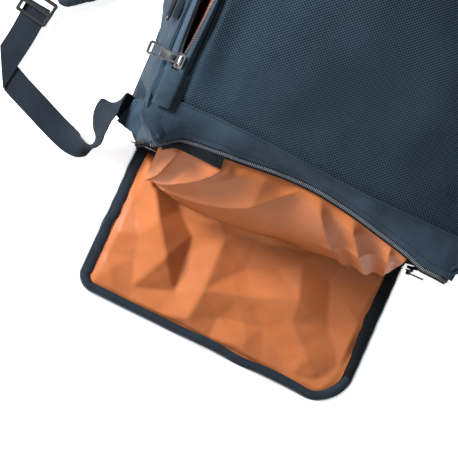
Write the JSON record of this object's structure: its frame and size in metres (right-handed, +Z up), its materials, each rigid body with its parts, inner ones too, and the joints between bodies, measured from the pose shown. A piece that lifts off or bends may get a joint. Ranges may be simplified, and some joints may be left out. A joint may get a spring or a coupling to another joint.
{
  "type": "racket tournament bag",
  "caption": "Soft racket bag lying on its back, with a fold-down end pocket, two long zippers, shoulder straps and handles",
  "frame": {"origin": "underside of the back panel, at its centre", "axes": "+Z up out of the front panel, +Y along the bag away from the end pocket, +X to the right"},
  "size_m": [0.5821, 0.9285, 0.2051],
  "materials": {
    "ripstop_dobby": "diagonal-rib weave, dark slate",
    "smooth_slate": "close plain weave, slate blue grey",
    "lining_orange": "thin crumpled nylon",
    "webbing": "flat woven webbing, dark slate",
    "padding": "foam padded mesh fabric",
    "zip_tape": "herringbone zipper tape",
    "label_cloth": "bare woven label",
    "zip_coil": "moulded nylon coil",
    "silver_metal": "satin plated zinc",
    "black_hardware": "moulded acetal",
    "board": "extruded sheet"
  },
  "bodies": {
    "bag": {"back_panel": "padding", "back_board": "board", "corner_cheek_left": "smooth_slate", "corner_cheek_right": "smooth_slate", "gusset_left": "smooth_slate", "gusset_right": "smooth_slate", "top_end_panel": "smooth_slate", "front_panel": "ripstop_dobby", "pocket_end_strip": "smooth_slate", "top_end_strip": "smooth_slate", "shoulder_caps": "smooth_slate", "main_zip_tape_front": "zip_tape", "main_zip_coil_front": "zip_coil", "main_zip_tape_side": "zip_tape", "main_zip_coil_side": "zip_coil", "second_zip_tapes": "zip_tape", "second_zip_coils": "zip_coil", "zip_end_tabs": "smooth_slate", "main_lining_walls": "lining_orange", "main_lining_floor": "lining_orange", "main_lining_front": "lining_orange", "pocket_lining_floor": "lining_orange", "pocket_lining_left": "lining_orange", "pocket_lining_right": "lining_orange", "pocket_lining_back": "lining_orange", "pocket_lining_top": "lining_orange", "pocket_zip_tapes": "zip_tape", "pocket_zip_coils": "zip_coil", "strap_tab_left": "smooth_slate", "strap_tab_right": "smooth_slate", "strap_anchors": "webbing", "haul_handle_anchors": "webbing", "side_handle_anchors": "webbing", "ring_loop_left": "webbing", "ring_loop_right": "webbing"},
    "pocket_flap": {"flap_panel": "ripstop_dobby", "flap_lining": "lining_orange", "flap_zip_tape": "zip_tape", "flap_binding": "smooth_slate", "flap_zip_coil": "zip_coil"},
    "curtain": {"pocket_curtain": "lining_orange", "inner_label": "label_cloth"},
    "main_slider": {"main_slider": "silver_metal"},
    "main_pull": {"main_pull": "silver_metal"},
    "second_slider": {"second_slider": "silver_metal"},
    "second_pull": {"second_pull": "silver_metal"},
    "pocket_slider": {"pocket_slider": "black_hardware"},
    "pocket_pull": {"pocket_pull": "black_hardware"},
    "left_strap": {"left_strap_webbing": "webbing", "left_ladder_lock": "black_hardware", "left_shoulder_pad": "padding"},
    "right_strap": {"right_strap_webbing": "webbing", "right_ladder_lock": "black_hardware", "right_shoulder_pad": "padding"},
    "haul_handle": {"haul_handle": "webbing"},
    "side_handle": {"side_handle": "webbing", "side_handle_grip": "padding"},
    "ring_left": {"d_ring_left": "black_hardware"},
    "ring_right": {"d_ring_right": "black_hardware"}
  },
  "joints": [
    {"name": "flap_fold", "type": "hinge", "parent": "bag", "child": "pocket_flap", "pos_m": [0, -0.3835, 0.004], "axis": [-1, 0, 0], "range_deg": [0, 88]},
    {"name": "curtain_tuck", "type": "hinge", "parent": "bag", "child": "curtain", "pos_m": [0, -0.3765, 0.1514], "axis": [1, 0, 0], "range_deg": [0, 40]},
    {"name": "main_slide", "type": "slide", "parent": "bag", "child": "main_slider", "axis": [0, 1, 0], "range_m": [0, 0.6]},
    {"name": "main_pull_flip", "type": "hinge", "parent": "main_slider", "child": "main_pull", "pos_m": [-0.158, -0.306, 0.1827], "axis": [0, 1, 0], "range_deg": [0, 150]},
    {"name": "second_slide", "type": "slide", "parent": "bag", "child": "second_slider", "axis": [0, -1, 0], "range_m": [0, 0.6]},
    {"name": "second_pull_flip", "type": "hinge", "parent": "second_slider", "child": "second_pull", "pos_m": [0.158, 0.305, 0.1827], "axis": [0, -1, 0], "range_deg": [0, 150]},
    {"name": "pocket_slide", "type": "slide", "parent": "bag", "child": "pocket_slider", "axis": [0, 0, 1], "range_m": [0, 0.11]},
    {"name": "pocket_pull_flip", "type": "hinge", "parent": "pocket_slider", "child": "pocket_pull", "pos_m": [0.1503, -0.39, 0.022], "axis": [0, 0, 1], "range_deg": [-80, 0]},
    {"name": "left_strap_lift", "type": "hinge", "parent": "bag", "child": "left_strap", "pos_m": [-0.185, 0, 0.006], "axis": [0, 1, 0], "range_deg": [0, 60]},
    {"name": "right_strap_lift", "type": "hinge", "parent": "bag", "child": "right_strap", "pos_m": [0.185, 0, 0.006], "axis": [0, -1, 0], "range_deg": [0, 60]},
    {"name": "haul_handle_swing", "type": "hinge", "parent": "bag", "child": "haul_handle", "pos_m": [0, 0.3841, 0.118], "axis": [1, 0, 0], "range_deg": [0, 90]},
    {"name": "side_handle_swing", "type": "hinge", "parent": "bag", "child": "side_handle", "pos_m": [0.1895, 0, 0.118], "axis": [0, -1, 0], "range_deg": [0, 100]},
    {"name": "ring_left_swing", "type": "hinge", "parent": "bag", "child": "ring_left", "pos_m": [-0.18085, -0.262, 0.15], "axis": [0, 1, 0], "range_deg": [0, 90]},
    {"name": "ring_right_swing", "type": "hinge", "parent": "bag", "child": "ring_right", "pos_m": [0.18085, -0.262, 0.15], "axis": [0, -1, 0], "range_deg": [0, 90]}
  ],
  "couplings": [
    {"joint": "curtain_tuck", "follows": "flap_fold", "ratio": 0.4545}
  ]
}
